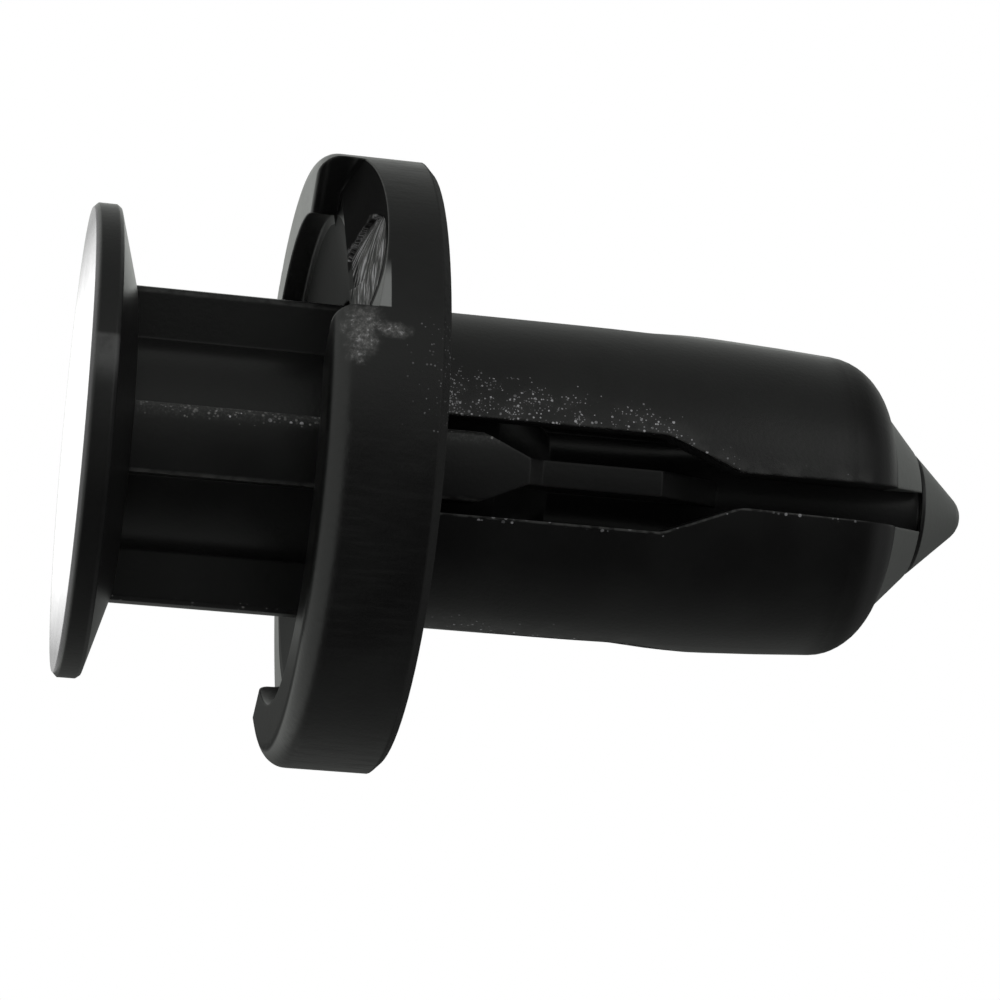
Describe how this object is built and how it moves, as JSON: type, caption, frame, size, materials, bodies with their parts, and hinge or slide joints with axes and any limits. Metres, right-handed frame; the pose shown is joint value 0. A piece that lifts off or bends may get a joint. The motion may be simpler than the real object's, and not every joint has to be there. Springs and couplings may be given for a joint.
{
  "type": "bumper clip",
  "caption": "Push-type panel clip: a finned pin with a round head slides in a flanged grommet and spreads its split legs behind the panel hole.",
  "frame": {"origin": "centre of the face of the pin's head, on which the clip stands", "axes": "+Z along the clip's axis, from the pin's head to its tip; -Y and -X through slots between the legs"},
  "size_m": [0.019, 0.019, 0.0285],
  "materials": {
    "grommet_plastic": "satin, moulded",
    "pin_plastic": "satin, moulded"
  },
  "bodies": {
    "grommet": {"grommet": "grommet_plastic"},
    "pin": {"pin": "pin_plastic"}
  },
  "joints": [
    {"name": "pin_slide", "type": "slide", "parent": "grommet", "child": "pin", "axis": [0, 0, 1], "range_m": [0, 0.00663]}
  ]
}
